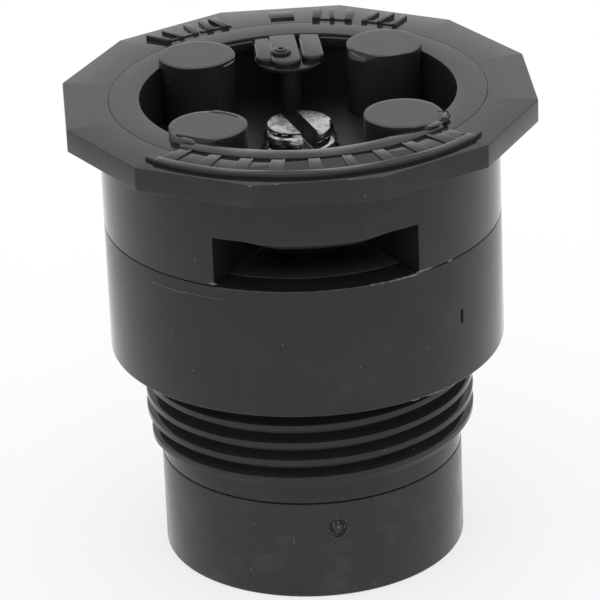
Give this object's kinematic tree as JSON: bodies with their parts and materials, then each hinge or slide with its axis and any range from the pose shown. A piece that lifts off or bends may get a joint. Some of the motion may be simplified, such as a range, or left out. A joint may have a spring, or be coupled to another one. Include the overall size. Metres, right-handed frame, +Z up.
{
  "type": "pop-up sprinkler spray nozzle",
  "caption": "Screw-in spray nozzle for a pop-up sprinkler riser, with a twelve-sided flange, a side spray window, a fine male thread and a slotted flow-adjusting screw.",
  "frame": {"origin": "middle of the inlet collar's bottom face", "axes": "+Z up along the nozzle's axis towards the flange, -Y through the middle of the spray window"},
  "size_m": [0.022, 0.022, 0.0236],
  "materials": {
    "cap_plastic": "satin moulded black acetal",
    "body_plastic": "satin moulded black acetal",
    "collar_plastic": "fine spark-eroded texture",
    "inner_plastic": "moulded grey-black plastic",
    "plug_plastic": "natural acetal",
    "rubber": "matt elastomer",
    "screen_steel": "stainless strainer",
    "screw_steel": "bright turned stainless steel"
  },
  "bodies": {
    "root": {"nozzle_cap": "cap_plastic", "nozzle_base": "body_plastic", "inlet_collar": "collar_plastic", "inlet_screen": "screen_steel", "throttle_seat": "inner_plastic", "orifice_plate": "inner_plastic", "compensating_disc": "rubber", "disc_retainer": "inner_plastic", "screw_seal": "rubber"},
    "throttle": {"throttle_plug": "plug_plastic"},
    "screw": {"adjusting_screw": "screw_steel"}
  },
  "joints": [
    {"name": "flow_travel", "type": "slide", "parent": "root", "child": "throttle", "axis": [0, 0, 1], "range_m": [-0.0024, 0.0012]},
    {"name": "screw_turn", "type": "hinge", "parent": "throttle", "child": "screw", "pos_m": [0, 0, 0.0215], "axis": [0, 0, 1], "range_deg": [-1440, 720]}
  ],
  "couplings": [
    {"joint": "screw_turn", "follows": "flow_travel", "rad_per_m": 10472}
  ]
}
